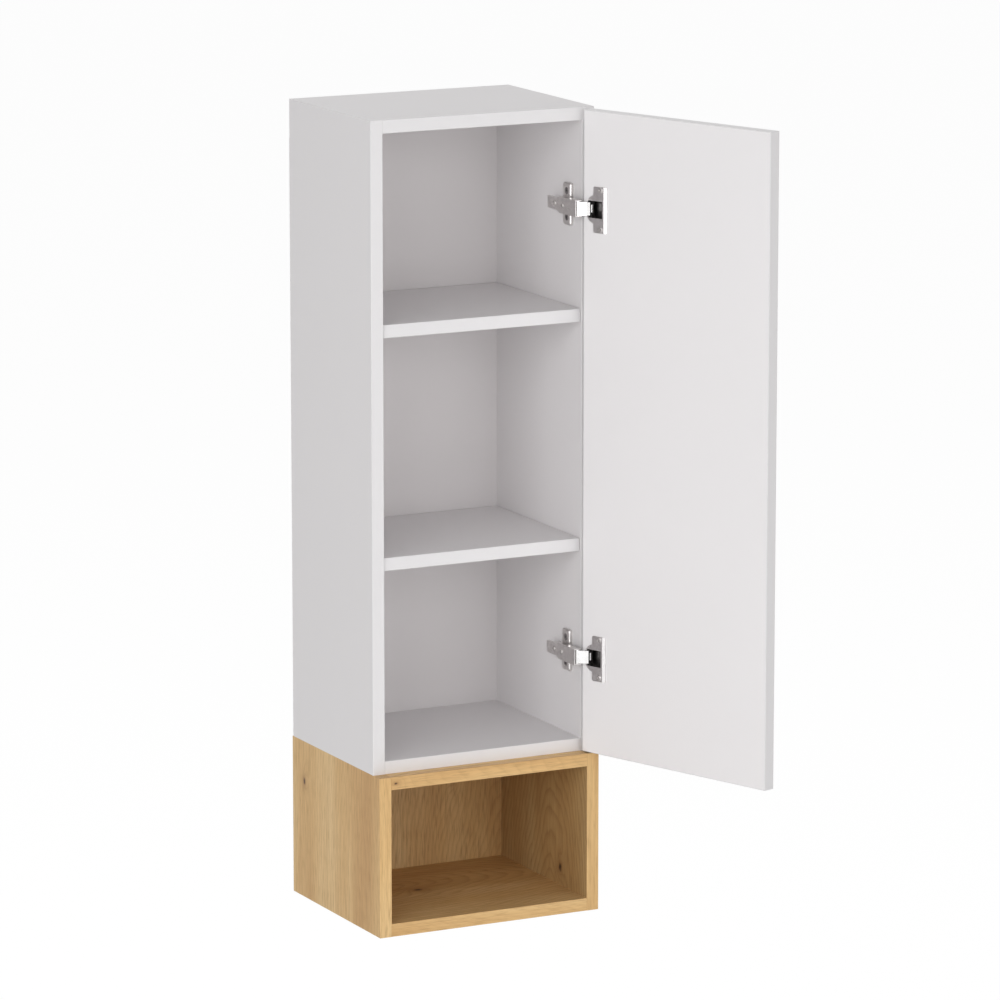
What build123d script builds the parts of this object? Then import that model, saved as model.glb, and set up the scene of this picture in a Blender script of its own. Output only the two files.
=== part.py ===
"""Tall narrow bathroom wall cabinet.

A white melamine carcase with one door and two loose shelves stands on an open oak niche.
The door hangs on two concealed cup hinges and is modelled standing open, as it is stored.

Frame: X to the right, Y towards the wall, Z up, in millimetres. The wall is the plane Y = 0,
and the origin lies on it, halfway between the two holes that hang on the wall screws.
"""
import os
from math import atan2, degrees, hypot

from build123d import *

os.makedirs("parts", exist_ok=True)

# Cabinet
width = 300.0
carcase_height = 800.0
niche_height = 200.0
board = 16.0
carcase_depth = 232.0
niche_depth = 250.0
back_thickness = 3.0
back_reveal = 1.0
edging = 1.0
edge_ease = 0.4
hang_drop = 35.0

# Shelves
shelf_thickness = 16.0
shelf_side_gap = 0.8
shelf_setback = 3.0
shelf_back_gap = 1.0
upper_shelf_height = 536.5
lower_shelf_height = 251.5
shelf_pin_radius = 2.5
shelf_pin_length = 15.0
shelf_pin_insert = 8.0
shelf_pin_line = 34.0

# Door
door_thickness = 16.0
door_side_reveal = 2.0
door_end_reveal = 2.0
door_gap = 2.0
door_opening = 110.0
hinge_inset = 120.0

# Joinery
dowel_radius = 4.0
dowel_in_side = 11.0
dowel_in_end = 20.0
cam_radius = 7.5
cam_height = 12.0
cam_reach = 24.0
cam_slot_width = 2.0
cam_slot_depth = 2.5
bolt_thread_radius = 2.5
bolt_thread_length = 10.5
bolt_neck_radius = 3.0
cam_gap = 0.3
fitting_inset = 38.0
dowel_spacing = 32.0
nail_radius = 0.9
nail_head_radius = 2.0
nail_head = 0.8
nail_length = 18.0
nail_pitch = 150.0
joining_screw_radius = 2.0
joining_screw_head = 4.0
joining_screw_sink = 3.0
joining_screw_length = 28.0
fit = 0.05

# Wall hangers
hanger_width = 40.0
hanger_height = 46.0
hanger_inset = 2.0
hanger_gap = 0.5
keyhole_radius = 4.5
keyhole_slot = 4.6
keyhole_rise = 11.0
keyhole_line = 118.0
hanger_screw_radius = 1.75
hanger_screw_head = 3.3
hanger_screw_sink = 1.6
hanger_screw_length = 22.0
hanger_screw_spacing = 30.0

# Concealed hinge: cup
cup_tab = 4.0
cup_bore_radius = 17.5
cup_radius = 17.4
cup_wall = 0.8
cup_depth = 12.0
flange_radius = 18.0
flange_thickness = 1.2
flange_height = 56.5
ear_start = 16.5
ear_end = 38.5
ear_corner = 2.0
mouth_height = 21.0
mouth_end = 31.0
lug_radius = 2.4
lug_gap = 9.5
lug_depth = 2.4
cup_screw_spacing = 48.0
cup_screw_offset = 6.0
cup_screw_radius = 1.75
cup_screw_head = 3.4
cup_screw_dome = 1.4
cup_screw_length = 12.0

# Concealed hinge: link that carries the door
link_swing = 28.0
arm_pivot_inset = 10.0
arm_pivot_reach = 9.0
cup_pivot_tab = 7.9
cup_pivot_depth = 5.0
link_thickness = 1.5
link_height = 16.0
link_eye_height = 17.8
link_eye_radius = 2.6
link_foot_height = 9.3
link_foot_radius = 2.2
link_rim_bend = (6.7, -2.9)
link_cup_bend = (9.6, -0.3)
arm_pin_radius = 1.4
cup_pin_radius = 1.2
cup_pin_length = 16.6

# Concealed hinge: arm, mounting plate and their screws
arm_stand_off = 15.4
arm_sheet = 1.4
arm_height = 20.4
arm_tail_height = 14.6
arm_front = 12.0
arm_rear = 61.5
arm_taper_start = 30.0
arm_taper_end = 37.0
arm_inside = 18.0
arm_tail_inside = 12.2
cheek_reach = 9.0
cheek_tail_reach = 4.0
plate_line = 32.0
plate_height = 52.0
wing_width = 20.0
wing_thickness = 4.5
wing_corner = 3.0
wing_edge = 1.2
boss_start = 9.0
boss_end = 57.0
boss_height = 11.8
plate_screw_spacing = 32.0
plate_screw_radius = 2.5
plate_screw_head = 4.5
plate_screw_sink = 2.4
plate_screw_length = 12.0
adjuster_radius = 2.0
adjuster_head = 3.0
adjuster_rise = 0.8
adjuster_length = 9.0
side_adjuster_line = 23.0
depth_adjuster_line = 43.0
recess_width = 0.9
recess_depth = 1.0

# Levels and faces worked out from the sizes above
half = width / 2
inner = half - board
cabinet_height = carcase_height + niche_height
base_z = hang_drop - cabinet_height
joint_z = base_z + niche_height
top_z = joint_z + carcase_height
carcase_front = -carcase_depth
niche_front = -niche_depth
carcase_rear = -back_thickness
carcase_board_depth = carcase_depth - back_thickness - edging
carcase_board_y = carcase_front + edging + carcase_board_depth / 2
niche_board_depth = niche_depth - edging
niche_board_y = niche_front + edging + niche_board_depth / 2
carcase_fitting_y = (carcase_front + fitting_inset, carcase_rear - fitting_inset)
carcase_dowel_y = (carcase_fitting_y[0] + dowel_spacing, carcase_fitting_y[1] - dowel_spacing)
niche_fitting_y = (niche_front + fitting_inset, -board - fitting_inset)
niche_dowel_y = (niche_fitting_y[0] + dowel_spacing, niche_fitting_y[1] - dowel_spacing)
shelf_levels = {
    "upper_shelf": joint_z + upper_shelf_height,
    "lower_shelf": joint_z + lower_shelf_height,
}
shelf_front = carcase_front + shelf_setback
shelf_depth = shelf_front - carcase_rear + shelf_back_gap
shelf_pin_y = (shelf_front + shelf_pin_line, carcase_rear - shelf_pin_line)
hinge_levels = {
    "upper": top_z - door_end_reveal - hinge_inset,
    "lower": joint_z + door_end_reveal + hinge_inset,
}
screw_y = carcase_front + plate_line

# Door placed by its hinge: the link turns on the arm, and the door turns on the link
arm_pivot = Vector(inner - arm_pivot_inset, carcase_front - arm_pivot_reach)
door_edge_closed = Vector(half - door_side_reveal, carcase_front - door_gap)
cup_pivot_closed = door_edge_closed - Vector(cup_pivot_tab, cup_pivot_depth)
link_reach = cup_pivot_closed - arm_pivot
cup_pivot = arm_pivot + link_reach.rotate(Axis.Z, -link_swing)
edge_reach = door_edge_closed - cup_pivot_closed
door_edge = cup_pivot + edge_reach.rotate(Axis.Z, door_opening)
across = Vector(-1, 0, 0).rotate(Axis.Z, door_opening)
into = Vector(0, -1, 0).rotate(Axis.Z, door_opening)
door_width = width - 2 * door_side_reveal
door_height = carcase_height - 2 * door_end_reveal
door_bottom = joint_z + door_end_reveal
cup_centre = cup_tab + cup_bore_radius
arm_pivot_across = (arm_pivot - door_edge).dot(across)
arm_pivot_into = (arm_pivot - door_edge).dot(into)


def save(piece, name):
    """Label a finished piece and write it to its own file."""
    piece.part.label = name
    export_step(piece.part, f"parts/{name}.step")


def door_top_view(z):
    """Plane seen from above: x runs across the door from its hinge edge, y into its thickness."""
    return Plane(origin=(door_edge.X, door_edge.Y, z), x_dir=across, z_dir=(0, 0, 1))


def door_face(depth=0.0):
    """Plane on the door's inner face: x runs across the door, y is the height Z."""
    origin = door_edge + into * depth
    return Plane(origin=(origin.X, origin.Y, 0), x_dir=across, z_dir=-into)


def board_block(x_size, y_size, z_size, x_mid, y_mid, z_low):
    """Plain board standing on z_low, added to the part being built."""
    with Locations((x_mid, y_mid, z_low)):
        Box(x_size, y_size, z_size, align=(Align.CENTER, Align.CENTER, Align.MIN))


def rod(plane, points, radius, length, mode=Mode.ADD):
    """Round rods that start on a plane and run along its normal, or back for a minus length."""
    base = Align.MIN if length > 0 else Align.MAX
    with Locations(*[plane.location * Location((a, b, 0)) for a, b in points]):
        Cylinder(radius, abs(length), align=(Align.CENTER, Align.CENTER, base), mode=mode)


def bores(plane, points, radius, depth):
    """Blind round holes from a plane into the part being built."""
    rod(plane, points, radius, depth, Mode.SUBTRACT)


def cross_recess(plane, points, span, width, depth):
    """Cross cut into the heads of the screws being built."""
    with Locations(*[plane.location * Location((a, b, 0)) for a, b in points]):
        for x, y in ((span, width), (width, span)):
            Box(x, y, depth, align=(Align.CENTER, Align.CENTER, Align.MAX), mode=Mode.SUBTRACT)


def grid(values_a, values_b):
    """Every pair of the two lists of places."""
    return [(a, b) for a in values_a for b in values_b]


def nail_levels():
    """Heights of the nails along one side of the carcase."""
    count = round(carcase_height / nail_pitch)
    step = (carcase_height - hanger_height - 2 * board) / count
    return [joint_z + board + step * (n + 0.5) for n in range(count)]


nail_rows_x = (-half + board / 2, half - board / 2)
nail_ends_z = (joint_z + board / 2, top_z - board / 2)
nail_ends_x = (-width / 8, width / 8)
hanger_x = half - hanger_inset - hanger_width / 2
hanger_z = top_z - hanger_inset - hanger_height / 2
hanger_screw_z = (hanger_z - hanger_screw_spacing / 2, hanger_z + hanger_screw_spacing / 2)


# Carcase sides: bored for bolts, dowels, shelf pins, hinge plates, nails and hanger screws
for name, side in (("carcase_side_left", -1), ("carcase_side_right", 1)):
    face = Plane.YZ.offset(side * inner)
    board_levels = (joint_z + board / 2, top_z - board / 2)
    pin_levels = [z - shelf_pin_radius for z in shelf_levels.values()]
    with BuildPart() as carcase_side:
        board_block(board, carcase_board_depth, carcase_height, side * (half - board / 2),
                    carcase_board_y, joint_z)
        bores(face, grid(carcase_fitting_y, board_levels), bolt_thread_radius + fit,
              side * bolt_thread_length)
        bores(face, grid(carcase_dowel_y, board_levels), dowel_radius + fit, side * dowel_in_side)
        bores(face, grid(shelf_pin_y, pin_levels), shelf_pin_radius + fit,
              side * (shelf_pin_insert + 1))
        rear = Plane.XZ.offset(-carcase_rear)
        bores(rear, grid([side * (half - board / 2)], nail_levels()), nail_radius + fit,
              nail_length)
        bores(rear, grid([side * (half - board / 2)], hanger_screw_z), hanger_screw_radius + fit,
              hanger_screw_length)
        if side > 0:
            places = [(screw_y, z + s * plate_screw_spacing / 2)
                      for z in hinge_levels.values() for s in (-1, 1)]
            bores(face, places, plate_screw_radius + fit, plate_screw_length - wing_thickness + 1)
    save(carcase_side, name)


def cross_board(piece_width, depth, y_mid, z_low, fitting_y, dowel_y, cam_face, rear_nails):
    """Board between two sides: cam bores in one face, bolt and dowel bores in both ends."""
    board_block(piece_width, depth, board, 0, y_mid, z_low)
    z_mid = z_low + board / 2
    cam_z = z_low if cam_face < 0 else z_low + board
    cam_x = piece_width / 2 - cam_reach
    bores(Plane.XY.offset(cam_z), grid((-cam_x, cam_x), fitting_y), cam_radius + fit,
          -cam_face * (cam_height + fit))
    for side in (-1, 1):
        end = Plane.YZ.offset(side * piece_width / 2)
        bores(end, grid(fitting_y, [z_mid]), bolt_neck_radius + fit, -side * cam_reach)
        bores(end, grid(dowel_y, [z_mid]), dowel_radius + fit, -side * dowel_in_end)
    if rear_nails:
        bores(Plane.XZ.offset(-carcase_rear), grid(nail_ends_x, [z_mid]), nail_radius + fit,
              nail_length)


# Carcase top and bottom: the top's cams open downwards, the bottom's are hidden by the niche
joining_places = grid((-inner / 2, inner / 2), carcase_dowel_y)
with BuildPart() as carcase_top:
    cross_board(2 * inner, carcase_board_depth, carcase_board_y, top_z - board,
                carcase_fitting_y, carcase_dowel_y, -1, True)
save(carcase_top, "carcase_top")

with BuildPart() as carcase_bottom:
    cross_board(2 * inner, carcase_board_depth, carcase_board_y, joint_z,
                carcase_fitting_y, carcase_dowel_y, -1, True)
    bores(Plane.XY.offset(joint_z), joining_places, joining_screw_radius + fit,
          joining_screw_length - board + 1)
save(carcase_bottom, "carcase_bottom")

# Hardboard back, nailed on, with its top corners cut out round the hangers
with BuildPart() as back_panel:
    back_low = joint_z + back_reveal
    board_block(width - 2 * back_reveal, back_thickness, carcase_height - 2 * back_reveal,
                0, -back_thickness / 2, back_low)
    for side in (-1, 1):
        notch_in = hanger_x - hanger_width / 2 - hanger_gap
        notch_low = hanger_z - hanger_height / 2 - hanger_gap
        with BuildSketch(Plane.XZ):
            with Locations((side * (notch_in + half) / 2, (notch_low + top_z) / 2)):
                Rectangle(half - notch_in, top_z - notch_low)
        extrude(amount=back_thickness, mode=Mode.SUBTRACT)
    bores(Plane.XZ, grid(nail_rows_x, nail_levels()), nail_radius + fit, back_thickness)
    bores(Plane.XZ, grid(nail_ends_x, nail_ends_z), nail_radius + fit, back_thickness)
    bores(Plane.XZ, grid(nail_rows_x, nail_levels()), nail_head_radius + fit, nail_head)
    bores(Plane.XZ, grid(nail_ends_x, nail_ends_z), nail_head_radius + fit, nail_head)
save(back_panel, "back_panel")

with BuildPart() as back_nails:
    nail_places = grid(nail_rows_x, nail_levels()) + grid(nail_ends_x, nail_ends_z)
    rod(Plane.XZ, nail_places, nail_radius, nail_length)
    rod(Plane.XZ, nail_places, nail_head_radius, nail_head)
save(back_nails, "back_nails")

# Wall hangers: steel plates with a keyhole, let into the back and screwed to the side edges
for name, side in (("hanger_left", -1), ("hanger_right", 1)):
    with BuildPart() as hanger:
        with BuildSketch(Plane.XZ):
            with Locations((side * hanger_x, hanger_z)):
                RectangleRounded(hanger_width, hanger_height, 3)
            with Locations((side * keyhole_line, 0)):
                Circle(keyhole_radius, mode=Mode.SUBTRACT)
            with Locations((side * keyhole_line, keyhole_rise / 2)):
                SlotCenterToCenter(keyhole_rise, keyhole_slot, rotation=90, mode=Mode.SUBTRACT)
        extrude(amount=back_thickness)
        places = grid([side * (half - board / 2)], hanger_screw_z)
        bores(Plane.XZ, places, hanger_screw_radius + fit, back_thickness)
        bores(Plane.XZ, places, hanger_screw_head + fit, hanger_screw_sink)
    save(hanger, name)

with BuildPart() as hanger_screws:
    screw_places = grid(nail_rows_x, hanger_screw_z)
    rod(Plane.XZ, screw_places, hanger_screw_radius, hanger_screw_length)
    rod(Plane.XZ, screw_places, hanger_screw_head, hanger_screw_sink)
    cross_recess(Plane(origin=(0, 0, 0), x_dir=(-1, 0, 0), z_dir=(0, 1, 0)),
                 screw_places, hanger_screw_head, recess_width, recess_depth)
save(hanger_screws, "hanger_screws")

# Shelves rest loose on four pins each
for name, level in shelf_levels.items():
    shelf_width = 2 * (inner - shelf_side_gap)
    board_depth = shelf_depth * -1 - edging
    with BuildPart() as shelf:
        board_block(shelf_width, board_depth, shelf_thickness, 0,
                    shelf_front + edging + board_depth / 2, level)
    save(shelf, name)
    with BuildPart() as shelf_pins:
        for side in (-1, 1):
            start = side * (inner + shelf_pin_insert)
            rod(Plane.YZ.offset(start), grid(shelf_pin_y, [level - shelf_pin_radius]),
                shelf_pin_radius, -side * shelf_pin_length)
    save(shelf_pins, f"{name}_pins")

# Niche: an oak box with a thick back, flush with the closed door
for name, side in (("niche_side_left", -1), ("niche_side_right", 1)):
    face = Plane.YZ.offset(side * inner)
    board_levels = (base_z + board / 2, joint_z - board / 2)
    with BuildPart() as niche_side:
        board_block(board, niche_board_depth, niche_height, side * (half - board / 2),
                    niche_board_y, base_z)
        bores(face, grid(niche_fitting_y, board_levels), bolt_thread_radius + fit,
              side * bolt_thread_length)
        bores(face, grid(niche_dowel_y, board_levels), dowel_radius + fit, side * dowel_in_side)
        bores(face, [(-board / 2, base_z + niche_height / 2)], dowel_radius + fit,
              side * dowel_in_side)
    save(niche_side, name)

with BuildPart() as niche_top:
    cross_board(2 * inner, niche_board_depth, niche_board_y, joint_z - board,
                niche_fitting_y, niche_dowel_y, 1, False)
    bores(Plane.XY.offset(joint_z), joining_places, joining_screw_radius + fit, -board)
    bores(Plane.XY.offset(joint_z - board), joining_places, joining_screw_head + fit,
          joining_screw_sink)
save(niche_top, "niche_top")

with BuildPart() as niche_bottom:
    cross_board(2 * inner, niche_board_depth, niche_board_y, base_z,
                niche_fitting_y, niche_dowel_y, -1, False)
save(niche_bottom, "niche_bottom")

with BuildPart() as niche_back:
    board_block(2 * inner, board, niche_height - 2 * board, 0, -board / 2, base_z + board)
    for side in (-1, 1):
        bores(Plane.YZ.offset(side * inner), [(-board / 2, base_z + niche_height / 2)],
              dowel_radius + fit, -side * dowel_in_end)
save(niche_back, "niche_back")

with BuildPart() as joining_screws:
    underside = Plane.XY.offset(joint_z - board)
    rod(underside, joining_places, joining_screw_radius, joining_screw_length)
    rod(underside, joining_places, joining_screw_head, joining_screw_sink)
save(joining_screws, "joining_screws")


# Cams, their bolts and the dowels of both boxes
def knock_down_fittings(prefix, levels, fitting_y, dowel_places):
    """Cams, bolts and dowels of one box, each kind in one node."""
    cam_x = inner - cam_reach
    with BuildPart() as cams:
        for z_mid, cam_face in levels:
            face = Plane(origin=(0, 0, z_mid + cam_face * board / 2), x_dir=(cam_face, 0, 0),
                         z_dir=(0, 0, cam_face))
            places = grid((-cam_x, cam_x), fitting_y)
            rod(face, places, cam_radius, -cam_height)
            cross_recess(face, places, cam_radius, cam_slot_width, cam_slot_depth)
            for side in (-1, 1):
                bores(Plane.YZ.offset(side * inner), grid(fitting_y, [z_mid]),
                      bolt_neck_radius + cam_gap, -side * (cam_reach + cam_gap))
    save(cams, f"{prefix}_cams")
    with BuildPart() as bolts:
        for z_mid, cam_face in levels:
            for side in (-1, 1):
                places = grid(fitting_y, [z_mid])
                end_face = Plane.YZ.offset(side * inner)
                rod(end_face, places, bolt_thread_radius, side * bolt_thread_length)
                rod(end_face, places, bolt_neck_radius, -side * (cam_reach - fit))
    save(bolts, f"{prefix}_cam_bolts")
    with BuildPart() as dowels:
        for side in (-1, 1):
            start = Plane.YZ.offset(side * (inner + dowel_in_side))
            rod(start, dowel_places, dowel_radius, -side * (dowel_in_side + dowel_in_end))
    save(dowels, f"{prefix}_dowels")


carcase_levels = ((joint_z + board / 2, -1), (top_z - board / 2, -1))
niche_levels = ((base_z + board / 2, -1), (joint_z - board / 2, 1))
knock_down_fittings("carcase", carcase_levels, carcase_fitting_y,
                    grid(carcase_dowel_y, [z for z, _ in carcase_levels]))
knock_down_fittings("niche", niche_levels, niche_fitting_y,
                    grid(niche_dowel_y, [z for z, _ in niche_levels])
                    + [(-board / 2, base_z + niche_height / 2)])


# Edge bands on the front edges of both boxes and of the shelves
def band(x_size, z_size, x_mid, z_low, y_front):
    """Edge band on a front edge, with its outer long edges eased."""
    with BuildPart() as strip:
        board_block(x_size, edging, z_size, x_mid, y_front + edging / 2, z_low)
        long_axis = Axis.X if x_size > z_size else Axis.Z
        front = strip.edges().filter_by(long_axis).group_by(Axis.Y)[0]
        chamfer(front, edge_ease)
    return strip.part


def front_bands(name, z_low, height, y_front):
    """The four front bands of one box, in one node."""
    strips = [band(board, height, side * (half - board / 2), z_low, y_front) for side in (-1, 1)]
    for z in (z_low, z_low + height - board):
        strips.append(band(2 * inner, board, 0, z, y_front))
    with BuildPart() as bands:
        for strip in strips:
            add(strip)
    save(bands, name)


front_bands("carcase_edging", joint_z, carcase_height, carcase_front)
front_bands("niche_edging", base_z, niche_height, niche_front)
with BuildPart() as shelf_edging:
    for level in shelf_levels.values():
        add(band(2 * (inner - shelf_side_gap), shelf_thickness, 0, level, shelf_front))
save(shelf_edging, "shelf_edging")

# Door board, bored for the two cups and their screws
with BuildPart() as door_panel:
    with BuildSketch(door_top_view(door_bottom + edging)):
        with Locations((door_width / 2, door_thickness / 2)):
            Rectangle(door_width - 2 * edging, door_thickness)
    extrude(amount=door_height - 2 * edging)
    bores(door_face(), [(cup_centre, z) for z in hinge_levels.values()], cup_bore_radius,
          -(cup_depth + fit))
    screw_places = [(cup_centre + cup_screw_offset, z + s * cup_screw_spacing / 2)
                    for z in hinge_levels.values() for s in (-1, 1)]
    bores(door_face(), screw_places, cup_screw_radius + fit, -cup_screw_length)
save(door_panel, "door_panel")

with BuildPart() as door_edging:
    for z in (door_bottom, door_bottom + door_height - edging):
        with BuildSketch(door_top_view(z)):
            with Locations((door_width / 2, door_thickness / 2)):
                Rectangle(door_width, door_thickness)
        extrude(amount=edging)
    for x in (edging / 2, door_width - edging / 2):
        with BuildSketch(door_top_view(door_bottom + edging)):
            with Locations((x, door_thickness / 2)):
                Rectangle(edging, door_thickness)
        extrude(amount=door_height - 2 * edging)
    rims = [e for e in door_edging.edges()
            if abs(e.length - door_width) < fit or abs(e.length - door_height) < fit]
    chamfer(rims, edge_ease)
save(door_edging, "door_edging")


# Cups, links, arms and mounting plates of the two hinges
def hinge_cup(name, z):
    """Pressed cup with its flange: a round edge, two square ears, and lugs that hold the pin."""
    inside = cup_radius - cup_wall
    cavity_start = cup_centre - inside
    lug_end = cup_pivot_tab + lug_radius
    with BuildPart() as cup:
        with BuildSketch(door_face()):
            with Locations((cup_centre, z)):
                Circle(flange_radius)
            with Locations(((ear_start + ear_end) / 2, z)):
                RectangleRounded(ear_end - ear_start, flange_height, ear_corner)
        extrude(amount=flange_thickness)
        rod(door_face(), [(cup_centre, z)], cup_radius, -cup_depth)
        with BuildSketch(door_face(lug_depth)):
            with Locations(((cavity_start + mouth_end) / 2, z)):
                Rectangle(mouth_end - cavity_start, mouth_height)
            with Locations((cup_centre, z)):
                Circle(inside - fit, mode=Mode.INTERSECT)
        extrude(amount=lug_depth + flange_thickness, mode=Mode.SUBTRACT)
        bores(door_face(), [(cup_centre, z)], inside, -(cup_depth - cup_wall))
        with BuildSketch(door_face(lug_depth)):
            for side in (-1, 1):
                with Locations(((cavity_start + lug_end) / 2, z + side * (lug_gap + inside) / 2)):
                    Rectangle(lug_end - cavity_start, inside)
            with Locations((cup_centre, z)):
                Circle(inside + cup_wall / 2, mode=Mode.INTERSECT)
        extrude(amount=2 * (lug_depth - cup_pivot_depth))
        bores(door_top_view(z - cup_pin_length / 2 - fit), [(cup_pivot_tab, cup_pivot_depth)],
              cup_pin_radius + fit, cup_pin_length + 2 * fit)
        bores(door_face(), cup_screw_places(z), cup_screw_radius + fit, flange_thickness)
    save(cup, name)


def cup_screw_places(z):
    """Places of a cup's two screws on the door's inner face."""
    return [(cup_centre + cup_screw_offset, z + side * cup_screw_spacing / 2)
            for side in (-1, 1)]


def hinge_link(name, z):
    """Bent strap from the arm's pin over the rim of the cup to the cup's pin, with two eyes."""
    arm_eye = Vector(arm_pivot_across, arm_pivot_into)
    cup_eye = Vector(cup_pivot_tab, cup_pivot_depth)
    rim_bend, cup_bend = Vector(link_rim_bend), Vector(link_cup_bend)
    outward = (rim_bend - arm_eye).normalized().rotate(Axis.Z, -90)
    strap_start = arm_eye + outward * (link_eye_radius - link_thickness / 2)
    strap, foot = (strap_start, rim_bend, cup_bend), (cup_bend, cup_eye)
    with BuildPart() as link:
        for height, chain in ((link_height, strap), (link_foot_height, foot)):
            with BuildSketch(door_top_view(z - height / 2)):
                for start, end in zip(chain, chain[1:]):
                    run = end - start
                    turn = degrees(atan2(run.Y, run.X))
                    with Locations(Location((start + end) / 2, (0, 0, turn))):
                        Rectangle(run.length, link_thickness)
                with Locations(chain):
                    Circle(link_thickness / 2)
            extrude(amount=height)
        eyes = (
            (arm_eye, link_eye_radius, arm_pin_radius, link_eye_height),
            (cup_eye, link_foot_radius, cup_pin_radius, link_foot_height),
        )
        for place, radius, pin, height in eyes:
            rod(door_top_view(z - height / 2), [(place.X, place.Y)], radius, height)
        for place, radius, pin, height in eyes:
            bores(door_top_view(z - height / 2), [(place.X, place.Y)], pin + fit, height)
    save(link, name)


def hinge_arm(name, z):
    """Channel that holds the link's pin in front and sits on the mounting plate behind."""
    web_x = inner - arm_stand_off
    front_y = carcase_front - arm_front
    rear_y = carcase_front + arm_rear
    taper_y = (carcase_front + arm_taper_start, carcase_front + arm_taper_end)
    wide, narrow = arm_height / 2, arm_tail_height / 2
    with BuildPart() as arm:
        with BuildSketch(Plane.YZ.offset(web_x)):
            with BuildLine():
                Polyline((front_y, z - wide), (taper_y[0], z - wide), (taper_y[1], z - narrow),
                         (rear_y, z - narrow), (rear_y, z + narrow), (taper_y[1], z + narrow),
                         (taper_y[0], z + wide), (front_y, z + wide), close=True)
            make_face()
        extrude(amount=arm_sheet)
        for side in (-1, 1):
            with BuildSketch(Plane.XY.offset(z + side * arm_inside / 2)):
                with BuildLine():
                    Polyline((web_x, front_y), (web_x + cheek_reach, front_y),
                             (web_x + cheek_reach, 2 * arm_pivot.Y - front_y),
                             (web_x + cheek_tail_reach, taper_y[0]), (web_x, taper_y[0]),
                             close=True)
                make_face()
            extrude(amount=side * (wide - arm_inside / 2))
            with BuildSketch(Plane.XY.offset(z + side * arm_tail_inside / 2)):
                with Locations((web_x + cheek_tail_reach / 2, (taper_y[1] + rear_y) / 2)):
                    Rectangle(cheek_tail_reach, rear_y - taper_y[1])
            extrude(amount=side * (narrow - arm_tail_inside / 2))
        bores(Plane.XY.offset(z - wide), [(arm_pivot.X, arm_pivot.Y)], arm_pin_radius + fit,
              arm_height)
        bores(Plane.YZ.offset(web_x), adjuster_places(z), adjuster_radius + fit, arm_sheet)
    save(arm, name)


def adjuster_places(z):
    """Places of the side and depth adjusting screws of one hinge."""
    return [(carcase_front + side_adjuster_line, z), (carcase_front + depth_adjuster_line, z)]


def plate_screw_places(z):
    """Places of the two screws that hold one mounting plate."""
    return [(screw_y, z - plate_screw_spacing / 2), (screw_y, z + plate_screw_spacing / 2)]


def hinge_plate(name, z):
    """Mounting plate: two wings on the cabinet side and a raised boss that the arm sits on."""
    boss_top = inner - arm_stand_off + arm_sheet
    boss_y = (carcase_front + boss_start, carcase_front + boss_end)
    with BuildPart() as plate:
        with BuildSketch(Plane.YZ.offset(inner)):
            with Locations((screw_y, z)):
                RectangleRounded(wing_width, plate_height, wing_corner)
        extrude(amount=-wing_thickness)
        chamfer(plate.faces().sort_by(Axis.X)[0].edges(), wing_edge)
        board_block(inner - boss_top, boss_y[1] - boss_y[0], boss_height,
                    (inner + boss_top) / 2, sum(boss_y) / 2, z - boss_height / 2)
        wing_face = Plane.YZ.offset(inner - wing_thickness)
        bores(wing_face, plate_screw_places(z), plate_screw_radius + fit, wing_thickness)
        bores(wing_face, plate_screw_places(z), plate_screw_head + fit, plate_screw_sink)
        bores(Plane.YZ.offset(boss_top), adjuster_places(z), adjuster_radius + fit,
              adjuster_length)
    save(plate, name)


for level_name, level in hinge_levels.items():
    hinge_cup(f"{level_name}_hinge_cup", level)
    hinge_link(f"{level_name}_hinge_link", level)
    hinge_arm(f"{level_name}_hinge_arm", level)
    hinge_plate(f"{level_name}_hinge_plate", level)

with BuildPart() as hinge_arm_pins:
    for level in hinge_levels.values():
        rod(Plane.XY.offset(level - arm_height / 2), [(arm_pivot.X, arm_pivot.Y)],
            arm_pin_radius, arm_height)
save(hinge_arm_pins, "hinge_arm_pins")

with BuildPart() as hinge_cup_pins:
    for level in hinge_levels.values():
        rod(door_top_view(level - cup_pin_length / 2), [(cup_pivot_tab, cup_pivot_depth)],
            cup_pin_radius, cup_pin_length)
save(hinge_cup_pins, "hinge_cup_pins")

with BuildPart() as hinge_plate_screws:
    head_face = Plane.YZ.offset(inner - wing_thickness)
    places = [place for z in hinge_levels.values() for place in plate_screw_places(z)]
    rod(head_face, places, plate_screw_radius, plate_screw_length)
    rod(head_face, places, plate_screw_head, plate_screw_sink)
    facing = Plane(origin=head_face.origin, x_dir=(0, -1, 0), z_dir=(-1, 0, 0))
    cross_recess(facing, [(-y, z) for y, z in places], plate_screw_head, recess_width,
                 recess_depth)
save(hinge_plate_screws, "hinge_plate_screws")

with BuildPart() as hinge_adjusting_screws:
    web_face = Plane.YZ.offset(inner - arm_stand_off)
    places = [place for z in hinge_levels.values() for place in adjuster_places(z)]
    rod(web_face, places, adjuster_radius, adjuster_length)
    rod(web_face, places, adjuster_head, -adjuster_rise)
    facing = Plane(origin=web_face.origin - Vector(adjuster_rise, 0, 0), x_dir=(0, -1, 0),
                   z_dir=(-1, 0, 0))
    cross_recess(facing, [(-y, z) for y, z in places], adjuster_head, recess_width,
                 adjuster_rise + recess_depth / 2)
save(hinge_adjusting_screws, "hinge_adjusting_screws")

with BuildPart() as hinge_cup_screws:
    places = [place for z in hinge_levels.values() for place in cup_screw_places(z)]
    rod(door_face(-flange_thickness), places, cup_screw_radius, -cup_screw_length)
    rod(door_face(-flange_thickness), places, cup_screw_head, cup_screw_dome)
    cross_recess(door_face(-flange_thickness - cup_screw_dome), places, cup_screw_head,
                 recess_width, recess_depth)
save(hinge_cup_screws, "hinge_cup_screws")
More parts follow.
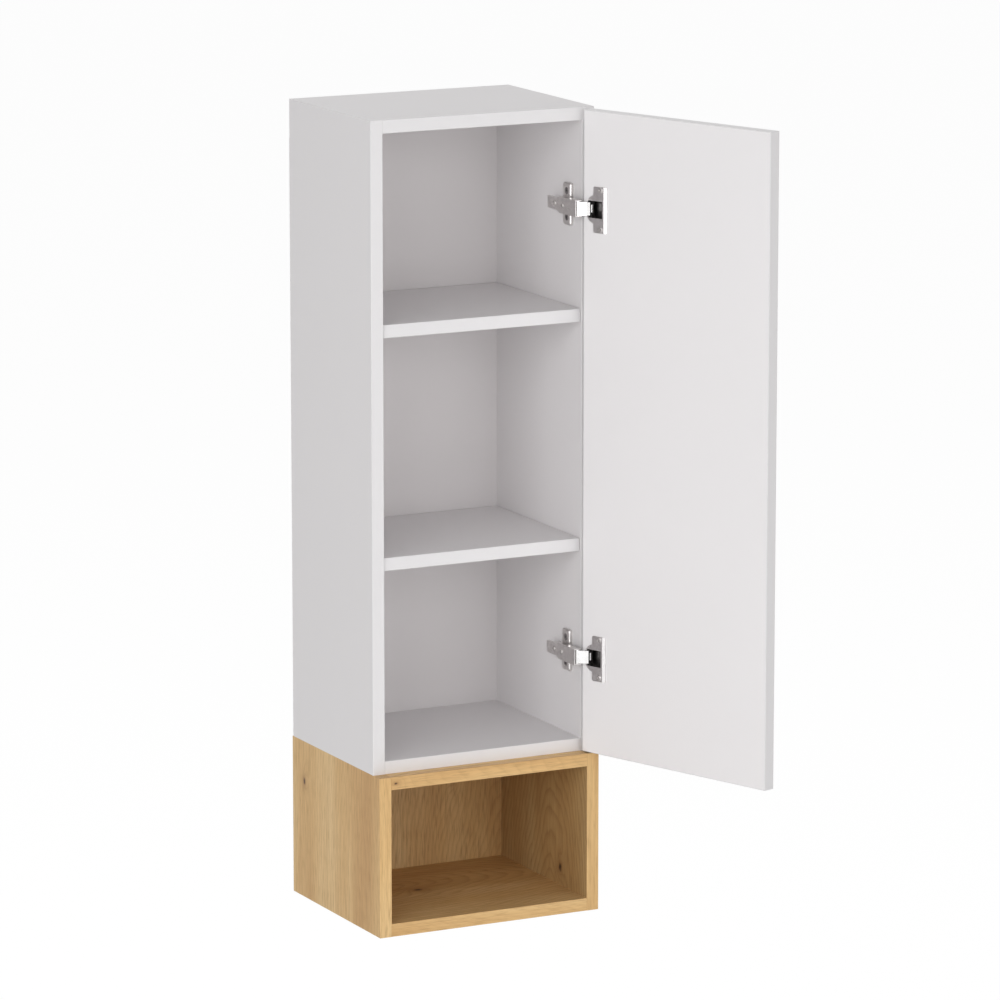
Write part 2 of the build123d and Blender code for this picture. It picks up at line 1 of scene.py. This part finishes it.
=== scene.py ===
"""Looks of the tall bathroom wall cabinet: white melamine, knotty oak and nickel hinges.

Metres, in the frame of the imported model: X right, Y towards the wall, Z up, wall at Y = 0.
"""
from math import pi, radians

import bpy
from mathutils import Euler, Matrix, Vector


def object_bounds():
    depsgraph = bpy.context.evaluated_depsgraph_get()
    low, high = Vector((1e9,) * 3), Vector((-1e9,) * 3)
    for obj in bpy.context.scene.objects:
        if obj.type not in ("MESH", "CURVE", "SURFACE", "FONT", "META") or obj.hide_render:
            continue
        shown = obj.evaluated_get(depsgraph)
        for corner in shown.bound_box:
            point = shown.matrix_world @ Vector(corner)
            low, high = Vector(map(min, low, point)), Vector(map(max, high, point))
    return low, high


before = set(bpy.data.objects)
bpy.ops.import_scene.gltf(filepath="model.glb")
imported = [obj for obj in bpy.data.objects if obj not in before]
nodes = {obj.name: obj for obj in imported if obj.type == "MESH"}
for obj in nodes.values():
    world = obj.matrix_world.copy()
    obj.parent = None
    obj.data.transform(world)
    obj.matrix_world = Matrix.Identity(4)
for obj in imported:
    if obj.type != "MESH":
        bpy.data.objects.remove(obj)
cad_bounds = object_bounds()

# Camera, found from the straight edges of the box in the photograph
IMAGE_WIDTH_PX = 1000
FOCAL_PX = 5877.9
SENSOR_MM = 36.0
CLIP_END = 100.0
CAMERA_PLACE = (-3.1435, -6.4807, 0.9681)
CAMERA_YAW = radians(26.87)
CAMERA_PITCH = radians(11.36)

# Studio: where each soft lamp stands as seen from the cabinet, its side and its power in watts
LAMPS = {
    "key_lamp": (Vector((-0.76, -0.61, 0.22)), 3.5, 108.0),
    "front_lamp": (Vector((0.20, -0.95, 0.15)), 3.0, 55.0),
    "top_lamp": (Vector((0.10, 0.40, 0.92)), 3.0, 76.0),
}
LAMP_DISTANCE = 5.0
LAMP_AIM_Y = -0.12
AMBIENT = 0.44
FLOOR_DROP = 0.7
FLOOR_SIZE = 60.0
FLOOR_COLOUR = (0.9, 0.9, 0.9)
FLOOR_GLOW = 1.05
FLOOR_GLOW_SHARE = 0.9

# Half the gap between the stiles of the oak frame
STILE_INNER_EDGE = 0.134

# Turns that bring the grain to Z and the board's width to X
GRAIN_TURNS = {
    "along a rail": (0.0, pi / 2, 0.0),
    "along a shelf": (-pi / 2, -pi / 2, 0.0),
    "up a side": (0.0, 0.0, pi / 2),
    "up a front": (0.0, 0.0, 0.0),
}

# Oak colours
OAK_GROUND = [(0.32, (0.66, 0.395, 0.160)), (0.52, (0.78, 0.510, 0.225)),
              (0.72, (0.88, 0.630, 0.315))]
LATE_WOOD = (0.36, 0.175, 0.060)
STREAK_COLOUR = (0.46, 0.250, 0.095)
PORE_COLOUR = (0.27, 0.135, 0.050)
HALO_COLOUR = (0.33, 0.155, 0.055)
HEART_COLOUR = (0.055, 0.028, 0.016)

# Noise scales of the oak, across the grain twice and along it
RAGGED_SCALE = (300.0, 300.0, 200.0)
DRIFT_SCALE = (7.0, 7.0, 3.0)
WAVER_SCALE = (45.0, 45.0, 11.0)
PATCH_SCALE = (16.0, 16.0, 2.2)
DASH_SCALE = (900.0, 900.0, 38.0)
STREAK_SCALE = (240.0, 240.0, 6.0)

# Oak figure: knots in knot radii, then the rings
KNOT_SQUASH = (1.0, 1.0, 0.62)
KNOT_RAGGEDNESS = 1.1
HEART_REACH = 1.35
HALO_FADE = -0.55
PUSH_FADE = -0.28
PUSH_RINGS = 4.0
AXIS_LEAN = 0.30
AXIS_DRIFT = 0.07
RING_WAVER = 1.6
LATE_WOOD_POWER = 3.5
RING_EDGE_POWER = 16.0
STREAK_DEPTH = 0.30

# Rolling lines of the plated metal
ROLLING_SCALE = (900.0, 150.0, 1600.0)

# Door as it stands open: its inner corner at the hinge side, and the ways across and into it
DOOR_CORNER = Vector((0.131755, -0.241079, 0.0))
DOOR_ACROSS = Vector((0.342020, -0.939693, 0.0))
DOOR_INTO = Vector((0.939693, 0.342020, 0.0))
# The cup is painted dark from this depth on, painted shade inside its hollow, and its flange
# slopes away beyond this line
PAINTED_SHADE_START = 0.0002
PAINTED_SHADE_GAIN = 1500.0
SLOPE_START = 0.0333
SLOPE = 0.4


def shader_tree(name):
    """New material with its nodes cleared, as (material, nodes, links)."""
    material = bpy.data.materials.new(name)
    material.use_nodes = True
    material.node_tree.nodes.clear()
    return material, material.node_tree.nodes, material.node_tree.links


def group_tree(name, inputs):
    """New finish group with the named inputs, as (group, nodes, links, start, end)."""
    group = bpy.data.node_groups.new(name, "ShaderNodeTree")
    for label, kind, default in [("Vector", "Vector", None), *inputs]:
        socket = group.interface.new_socket(label, in_out="INPUT",
                                            socket_type="NodeSocket" + kind)
        if default is not None:
            socket.default_value = default
    for label, kind in (("Colour", "Color"), ("Roughness", "Float"), ("Normal", "Vector")):
        group.interface.new_socket(label, in_out="OUTPUT", socket_type="NodeSocket" + kind)
    start = group.nodes.new("NodeGroupInput")
    end = group.nodes.new("NodeGroupOutput")
    return group, group.nodes, group.links, start, end


def connect(links, value, socket):
    """Feed a socket from another socket, or set it to a plain value."""
    if isinstance(value, bpy.types.NodeSocket):
        links.new(value, socket)
    elif socket.type == "RGBA":
        socket.default_value = (*value, 1.0)
    else:
        socket.default_value = value


def math_node(tree, links, operation, first, second=None, clamp=False):
    """Math node on sockets or plain numbers; gives its output socket."""
    node = tree.new("ShaderNodeMath")
    node.operation = operation
    node.use_clamp = clamp
    connect(links, first, node.inputs[0])
    if second is not None:
        connect(links, second, node.inputs[1])
    return node.outputs[0]


def vector_math(tree, links, operation, first, second=None):
    """Vector math node; gives its outputs, the vector under "Vector", a number under "Value"."""
    node = tree.new("ShaderNodeVectorMath")
    node.operation = operation
    links.new(first, node.inputs[0])
    if second is not None:
        connect(links, second, node.inputs["Scale" if operation == "SCALE" else 1])
    return node.outputs


def ramp_node(tree, links, factor, stops):
    """Colour ramp with (place, colour) stops; gives its colour socket."""
    node = tree.new("ShaderNodeValToRGB")
    elements = node.color_ramp.elements
    while len(elements) < len(stops):
        elements.new(0.5)
    for element, (place, colour) in zip(elements, stops):
        element.position = place
        element.color = (*colour, 1.0)
    links.new(factor, node.inputs["Fac"])
    return node.outputs["Color"]


def mix_colour(tree, links, factor, first, second):
    """Colour mix of sockets or plain colours; gives its result socket."""
    node = tree.new("ShaderNodeMix")
    node.data_type = "RGBA"
    connect(links, factor, node.inputs["Factor"])
    connect(links, first, node.inputs[6])
    connect(links, second, node.inputs[7])
    return node.outputs[2]


def mapped(tree, links, vector, **settings):
    """Mapping of a vector by Location, Rotation or Scale; gives its vector socket."""
    node = tree.new("ShaderNodeMapping")
    for label, value in settings.items():
        node.inputs[label].default_value = value
    links.new(vector, node.inputs["Vector"])
    return node.outputs["Vector"]


def noise_node(tree, links, vector, scale, detail=2.0, roughness=0.5):
    """Noise texture on a vector; gives its factor socket."""
    node = tree.new("ShaderNodeTexNoise")
    node.inputs["Scale"].default_value = scale
    node.inputs["Detail"].default_value = detail
    node.inputs["Roughness"].default_value = roughness
    links.new(vector, node.inputs["Vector"])
    return node.outputs["Fac"]


def bump_node(tree, links, height, distance, strength=1.0, invert=False, normal=None):
    """Bump from a height socket, over another normal if one is given; gives its normal."""
    node = tree.new("ShaderNodeBump")
    node.invert = invert
    node.inputs["Distance"].default_value = distance
    connect(links, strength, node.inputs["Strength"])
    links.new(height, node.inputs["Height"])
    if normal is not None:
        links.new(normal, node.inputs["Normal"])
    return node.outputs["Normal"]


def object_coordinates(tree):
    """Object coordinates, which on every piece are the model's own."""
    return tree.new("ShaderNodeTexCoord").outputs["Object"]


def build_board_finish():
    """Melamine paper: a fine pearl relief and a barely visible tone change over the board."""
    group, tree, links, start, end = group_tree("melamine_finish", [
        ("Colour", "Color", (0.8, 0.8, 0.8, 1)), ("Tone change", "Float", 0.03),
        ("Relief", "Float", 0.05)])
    broad = noise_node(tree, links, start.outputs["Vector"], 4.0, 3.0)
    pearls = noise_node(tree, links, start.outputs["Vector"], 1400.0, 1.0)
    tone = math_node(tree, links, "SUBTRACT", broad, 0.5)
    tone = math_node(tree, links, "MULTIPLY", tone, start.outputs["Tone change"])
    tone = math_node(tree, links, "ADD", tone, 1.0)
    shade = vector_math(tree, links, "SCALE", start.outputs["Colour"], tone)
    links.new(shade["Vector"], end.inputs["Colour"])
    rough = math_node(tree, links, "MULTIPLY", broad, 0.12)
    links.new(math_node(tree, links, "ADD", rough, 0.42), end.inputs["Roughness"])
    normal = bump_node(tree, links, pearls, 0.0001, start.outputs["Relief"])
    links.new(normal, end.inputs["Normal"])
    return group


def build_oak_grain():
    """Knotty oak decor. Z of the vector runs along the grain, X and Y across it.

    The rings are nested cones round an axis that leans out of the board, so that a board cut
    near the axis shows arches and a board cut far from it shows straight lines.
    """
    group, tree, links, start, end = group_tree("knotty_oak", [
        ("Ring count", "Float", 150.0), ("Figure", "Float", 0.5), ("Pores", "Float", 0.4),
        ("Knot place", "Vector", (0.0, 0.0, 0.0)), ("Knot radius", "Float", 0.0001)])
    vector = start.outputs["Vector"]

    def calc(operation, first, second=None, clamp=False):
        return math_node(tree, links, operation, first, second, clamp)

    def noise(scale, detail, roughness=0.5):
        stretched = mapped(tree, links, vector, Scale=scale)
        return noise_node(tree, links, stretched, 1.0, detail, roughness)

    def either_way(value, reach):
        return calc("MULTIPLY", calc("SUBTRACT", value, 0.5), reach)

    def above(value, level, gain):
        return calc("MULTIPLY", calc("SUBTRACT", value, level), gain, clamp=True)

    # Knot: a dark heart, a warm halo and rings pushed aside
    offset = vector_math(tree, links, "SUBTRACT", vector, start.outputs["Knot place"])
    squashed = vector_math(tree, links, "MULTIPLY", offset["Vector"], KNOT_SQUASH)
    distance = vector_math(tree, links, "LENGTH", squashed["Vector"])["Value"]
    away = calc("DIVIDE", distance, start.outputs["Knot radius"])
    away = calc("ADD", away, either_way(noise(RAGGED_SCALE, 2.0), KNOT_RAGGEDNESS))
    heart = calc("SUBTRACT", HEART_REACH, away, clamp=True)
    halo = calc("MINIMUM", calc("EXPONENT", calc("MULTIPLY", away, HALO_FADE)), 1.0)
    push = calc("EXPONENT", calc("MULTIPLY", away, PUSH_FADE))

    # Rings
    axes = tree.new("ShaderNodeSeparateXYZ")
    links.new(vector, axes.inputs["Vector"])
    lean = calc("ADD", axes.outputs["Y"], calc("MULTIPLY", axes.outputs["Z"], AXIS_LEAN))
    side = calc("ADD", axes.outputs["X"], either_way(noise(DRIFT_SCALE, 2.0), AXIS_DRIFT))
    radius = calc("SQRT", calc("ADD", calc("MULTIPLY", lean, lean),
                               calc("MULTIPLY", side, side)))
    field = calc("MULTIPLY", radius, start.outputs["Ring count"])
    field = calc("ADD", field, calc("MULTIPLY", noise(WAVER_SCALE, 3.0), RING_WAVER))
    field = calc("ADD", field, calc("MULTIPLY", push, PUSH_RINGS))
    ring = calc("FRACT", field)
    late = calc("ADD", calc("POWER", ring, LATE_WOOD_POWER),
                calc("POWER", calc("SUBTRACT", 1.0, ring), RING_EDGE_POWER))

    # Pores: short dark dashes along the grain, over longer and wider streaks
    dashes = above(noise(DASH_SCALE, 2.0, 0.6), 0.50, 5.0)
    streaks = above(noise(STREAK_SCALE, 4.0, 0.65), 0.42, 3.2)

    colour = ramp_node(tree, links, noise(PATCH_SCALE, 3.0), OAK_GROUND)
    for share, over in (
            (calc("MULTIPLY", late, start.outputs["Figure"]), LATE_WOOD),
            (calc("MULTIPLY", streaks, STREAK_DEPTH), STREAK_COLOUR),
            (calc("MULTIPLY", dashes, start.outputs["Pores"]), PORE_COLOUR),
            (halo, HALO_COLOUR), (heart, HEART_COLOUR)):
        colour = mix_colour(tree, links, share, colour, over)
    links.new(colour, end.inputs["Colour"])
    links.new(calc("ADD", calc("MULTIPLY", dashes, 0.14), 0.46), end.inputs["Roughness"])
    normal = bump_node(tree, links, dashes, 0.0002, 0.3, invert=True)
    links.new(normal, end.inputs["Normal"])
    return group


def build_metal_finish():
    """Plated metal: rolling lines and small tone changes."""
    group, tree, links, start, end = group_tree("plated_metal", [
        ("Colour", "Color", (0.5, 0.5, 0.5, 1)), ("Roughness", "Float", 0.3),
        ("Relief", "Float", 0.1)])
    stretched = mapped(tree, links, start.outputs["Vector"], Scale=ROLLING_SCALE)
    lines = noise_node(tree, links, stretched, 1.0)
    broad = noise_node(tree, links, start.outputs["Vector"], 160.0)
    tone = math_node(tree, links, "MULTIPLY", broad, 0.3)
    tone = math_node(tree, links, "ADD", tone, 0.85)
    shade = vector_math(tree, links, "SCALE", start.outputs["Colour"], tone)
    links.new(shade["Vector"], end.inputs["Colour"])
    rough = math_node(tree, links, "SUBTRACT", lines, 0.5)
    rough = math_node(tree, links, "MULTIPLY", rough, 0.15)
    rough = math_node(tree, links, "ADD", rough, start.outputs["Roughness"])
    links.new(rough, end.inputs["Roughness"])
    normal = bump_node(tree, links, lines, 0.00005, start.outputs["Relief"])
    links.new(normal, end.inputs["Normal"])
    return group


board_finish = build_board_finish()
oak_grain = build_oak_grain()
metal_finish = build_metal_finish()


def turned_vector(tree, links, grain, shift):
    """Object coordinates, turned so that the board's grain is Z, and shifted in the pattern."""
    return mapped(tree, links, object_coordinates(tree), Location=shift,
                  Rotation=GRAIN_TURNS[grain])


def stile_mask(tree, links):
    """One on the stiles, zero on the rails that lie between them."""
    axes = tree.new("ShaderNodeSeparateXYZ")
    links.new(object_coordinates(tree), axes.inputs["Vector"])
    distance = math_node(tree, links, "ABSOLUTE", axes.outputs["X"])
    return math_node(tree, links, "GREATER_THAN", distance, STILE_INNER_EDGE)


def finished_material(name, group, settings, specular=0.5, metallic=0.0, grain="up a front",
                      shift=(0.0, 0.0, 0.0)):
    """Material made of one finish group, as (material, nodes, links, finish, surface).

    With the grain "stiles and rails", it runs upright at both ends and across between them.
    """
    material, tree, links = shader_tree(name)
    finish = tree.new("ShaderNodeGroup")
    finish.node_tree = group
    for label, value in settings.items():
        connect(links, value, finish.inputs[label])
    if grain == "stiles and rails":
        choice = tree.new("ShaderNodeMix")
        choice.data_type = "VECTOR"
        links.new(stile_mask(tree, links), choice.inputs["Factor"])
        links.new(turned_vector(tree, links, "along a rail", shift), choice.inputs[4])
        links.new(turned_vector(tree, links, "up a front", shift), choice.inputs[5])
        links.new(choice.outputs[1], finish.inputs["Vector"])
    else:
        links.new(turned_vector(tree, links, grain, shift), finish.inputs["Vector"])
    surface = tree.new("ShaderNodeBsdfPrincipled")
    surface.inputs["Specular IOR Level"].default_value = specular
    surface.inputs["Metallic"].default_value = metallic
    links.new(finish.outputs["Colour"], surface.inputs["Base Color"])
    links.new(finish.outputs["Roughness"], surface.inputs["Roughness"])
    links.new(finish.outputs["Normal"], surface.inputs["Normal"])
    output = tree.new("ShaderNodeOutputMaterial")
    links.new(surface.outputs["BSDF"], output.inputs["Surface"])
    return material, tree, links, finish, surface


def white_board(name, colour, shift=(0.0, 0.0, 0.0)):
    """Matte white melamine for one board."""
    return finished_material(name, board_finish, {"Colour": colour}, 0.35, shift=shift)[0]


def oak_board(name, grain, shift, rings, figure, pores=0.4, knot=None, radius=None, tone=1.0):
    """Knotty oak decor for one board, with its grain along an axis and at most one knot; a tone
    below one darkens the board as painted shade.
    """
    settings = {"Ring count": rings, "Figure": figure, "Pores": pores}
    if knot:
        turn = "along a rail" if grain == "stiles and rails" else grain
        turned = Euler(GRAIN_TURNS[turn]).to_matrix() @ Vector(knot)
        settings["Knot place"] = turned + Vector(shift)
        settings["Knot radius"] = radius
    material, tree, links, finish, surface = finished_material(
        name, oak_grain, settings, 0.35, grain=grain, shift=shift)
    # Painted shade: a tone below one darkens the whole board, standing in for the shade the
    # board lies in
    painted_shade_node = tree.new("ShaderNodeHueSaturation")
    painted_shade_node.inputs["Value"].default_value = tone
    links.new(finish.outputs["Colour"], painted_shade_node.inputs["Color"])
    links.new(painted_shade_node.outputs["Color"], surface.inputs["Base Color"])
    return material


def metal(name, colour, roughness, relief=0.1):
    """Plated steel or zinc alloy, as finished_material gives it."""
    settings = {"Colour": colour, "Roughness": roughness, "Relief": relief}
    return finished_material(name, metal_finish, settings, metallic=1.0)


def cup_metal(name, colour, painted_shade_colour, roughness):
    """Metal of the hinge cups: painted shade darkens the inside of the cup, with a sloped strip
    along the free edge.
    """
    material, tree, links, finish, surface = metal(name, colour, roughness)

    def distance_along(direction, start):
        along = vector_math(tree, links, "DOT_PRODUCT", object_coordinates(tree), direction)
        return math_node(tree, links, "SUBTRACT", along["Value"],
                         direction.dot(DOOR_CORNER) + start)

    # Painted shade: the same metal is painted dark inside the cup, where shade falls
    depth = distance_along(DOOR_INTO, PAINTED_SHADE_START)
    painted_shade_mask = math_node(tree, links, "MULTIPLY", depth, PAINTED_SHADE_GAIN, clamp=True)
    shaded = mix_colour(tree, links, painted_shade_mask, finish.outputs["Colour"], painted_shade_colour)
    links.new(shaded, surface.inputs["Base Color"])
    beyond = math_node(tree, links, "MAXIMUM", distance_along(DOOR_ACROSS, SLOPE_START), 0.0)
    normal = bump_node(tree, links, beyond, SLOPE, invert=True,
                       normal=finish.outputs["Normal"])
    links.new(normal, surface.inputs["Normal"])
    return material


white_face = white_board("white_melamine", (0.785, 0.765, 0.770))
white_tape = white_board("white_edge_tape", (0.80, 0.785, 0.79), (0.3, 0.1, 0.2))
satin_nickel = metal("satin_nickel", (0.70, 0.68, 0.67), 0.30)[0]
bright_nickel = metal("bright_nickel", (0.93, 0.92, 0.91), 0.14, 0.03)[0]
zinc = metal("bright_zinc", (0.62, 0.62, 0.60), 0.30)[0]
cam_alloy = metal("die_cast_alloy", (0.50, 0.50, 0.51), 0.45, 0.3)[0]
beech = oak_board("beech", "along a rail", (0.2, 0.3, 0.1), rings=300.0, figure=0.1, pores=0.2)

nodes_by_material = [
    (white_face, ("carcase_side_left", "carcase_side_right", "carcase_top", "carcase_bottom",
                  "upper_shelf", "lower_shelf")),
    # The door's white is a brighter copy of the carcase melamine: painted light for the stronger
    # light on the open door's inner face
    (white_board("white_door_painted_light", (0.89, 0.870, 0.875), (0.4, 0.2, 0.6)), ("door_panel",)),
    (white_tape, ("carcase_edging", "shelf_edging", "door_edging")),
    (white_board("white_hardboard", (0.79, 0.762, 0.764), (0.7, 0.5, 0.1)), ("back_panel",)),
    # A tone below one on an oak board is painted shade, strongest on the right side whose inner
    # face lies in the niche's shade
    (oak_board("oak_side_left", "up a side", (0.10, 0.13, 0.965), rings=130.0, figure=0.22,
               knot=(-0.150, -0.034, -0.816), radius=0.0022, tone=0.90), ("niche_side_left",)),
    (oak_board("oak_side_right", "up a side", (-0.150, -0.114, 0.949), rings=150.0,
               figure=0.45, knot=(0.134, -0.178, -0.926), radius=0.0032, tone=0.60),
     ("niche_side_right",)),
    (oak_board("oak_top", "along a shelf", (0.30, 0.75, 0.05), rings=130.0, figure=0.45),
     ("niche_top",)),
    (oak_board("oak_bottom", "along a shelf", (0.10, 0.975, 0.02), rings=150.0, figure=0.40,
               pores=0.30, knot=(-0.035, -0.120, -0.949), radius=0.0030, tone=0.78),
     ("niche_bottom",)),
    (oak_board("oak_back", "up a front", (-0.135, 0.028, 0.949), rings=170.0, figure=0.28,
               pores=0.50, knot=(0.066, -0.016, -0.842), radius=0.0015, tone=0.84),
     ("niche_back",)),
    (oak_board("oak_tape", "stiles and rails", (0.66, 0.30, 0.92), rings=160.0, figure=0.14,
               pores=0.35, knot=(-0.128, -0.250, -0.773), radius=0.0013), ("niche_edging",)),
    (beech, ("carcase_dowels", "niche_dowels")),
    (cam_alloy, ("carcase_cams", "niche_cams")),
    (zinc, ("carcase_cam_bolts", "niche_cam_bolts", "back_nails", "hanger_left",
            "hanger_right", "hanger_screws", "joining_screws", "upper_shelf_pins",
            "lower_shelf_pins")),
    (bright_nickel, ("hinge_arm_pins", "hinge_cup_pins", "upper_hinge_link",
                     "lower_hinge_link")),
    (satin_nickel, ("upper_hinge_arm", "lower_hinge_arm", "upper_hinge_plate",
                    "lower_hinge_plate", "hinge_cup_screws", "hinge_adjusting_screws")),
    (metal("screw_nickel", (0.26, 0.25, 0.25), 0.26, 0.05)[0], ("hinge_plate_screws",)),
    # The cups' second colour is painted shade inside the cup, not a different metal
    (cup_metal("cup_nickel", (0.72, 0.70, 0.70), (0.12, 0.115, 0.115), 0.30),
     ("upper_hinge_cup", "lower_hinge_cup")),
]
material_of = {name: material for material, names in nodes_by_material for name in names}

for name, piece in nodes.items():
    for slot in piece.material_slots:
        slot.material = material_of[name]


def seen_directly(tree, links):
    """One for camera rays and reflections, zero for the rays that light things."""
    rays = tree.new("ShaderNodeLightPath")
    return math_node(tree, links, "MAXIMUM", rays.outputs["Is Camera Ray"],
                     rays.outputs["Is Glossy Ray"])


def floor_material():
    """White to the camera and to reflections, apart from soft shadows."""
    material, tree, links = shader_tree("floor_white")
    matte = tree.new("ShaderNodeBsdfDiffuse")
    connect(links, FLOOR_COLOUR, matte.inputs["Color"])
    glow = tree.new("ShaderNodeEmission")
    glow.inputs["Strength"].default_value = FLOOR_GLOW
    share = math_node(tree, links, "MULTIPLY", seen_directly(tree, links), FLOOR_GLOW_SHARE)
    mix = tree.new("ShaderNodeMixShader")
    links.new(share, mix.inputs["Fac"])
    links.new(matte.outputs["BSDF"], mix.inputs[1])
    links.new(glow.outputs["Emission"], mix.inputs[2])
    output = tree.new("ShaderNodeOutputMaterial")
    links.new(mix.outputs["Shader"], output.inputs["Surface"])
    return material


def build_floor():
    """Wide white floor below the hanging cabinet."""
    level = cad_bounds[0][2] - FLOOR_DROP
    half = FLOOR_SIZE / 2
    corners = [(-half, -half, level), (half, -half, level), (half, half, level),
               (-half, half, level)]
    mesh = bpy.data.meshes.new("floor")
    mesh.from_pydata(corners, [], [(0, 1, 2, 3)])
    floor = bpy.data.objects.new("floor", mesh)
    bpy.context.collection.objects.link(floor)
    mesh.materials.append(floor_material())


def build_world():
    """White to the camera and to reflections, and a low even light to everything else."""
    world = bpy.data.worlds.new("studio")
    bpy.context.scene.world = world
    world.use_nodes = True
    tree, links = world.node_tree.nodes, world.node_tree.links
    tree.clear()
    strength = math_node(tree, links, "MULTIPLY", seen_directly(tree, links), 1.0 - AMBIENT)
    strength = math_node(tree, links, "ADD", strength, AMBIENT)
    background = tree.new("ShaderNodeBackground")
    links.new(strength, background.inputs["Strength"])
    output = tree.new("ShaderNodeOutputWorld")
    links.new(background.outputs["Background"], output.inputs["Surface"])


def build_lamp(name, direction, size, power):
    """Large soft square lamp that shines on the middle of the cabinet."""
    data = bpy.data.lights.new(name, "AREA")
    data.shape = "SQUARE"
    data.size = size
    data.energy = power
    lamp = bpy.data.objects.new(name, data)
    middle = Vector((0.0, LAMP_AIM_Y, (cad_bounds[0][2] + cad_bounds[1][2]) / 2))
    lamp.location = middle + direction.normalized() * LAMP_DISTANCE
    lamp.rotation_euler = direction.to_track_quat("Z", "Y").to_euler()
    bpy.context.collection.objects.link(lamp)


def build_camera():
    """Long lens at the photograph's viewing angle."""
    data = bpy.data.cameras.new("camera")
    data.sensor_width = SENSOR_MM
    data.lens = FOCAL_PX / IMAGE_WIDTH_PX * SENSOR_MM
    data.clip_end = CLIP_END
    camera = bpy.data.objects.new("camera", data)
    camera.location = CAMERA_PLACE
    camera.rotation_euler = (pi / 2 - CAMERA_PITCH, 0.0, -CAMERA_YAW)
    bpy.context.collection.objects.link(camera)
    bpy.context.scene.camera = camera


build_floor()
build_world()
for lamp_name, settings in LAMPS.items():
    build_lamp(lamp_name, *settings)
build_camera()
bpy.context.scene.view_settings.view_transform = "Standard"
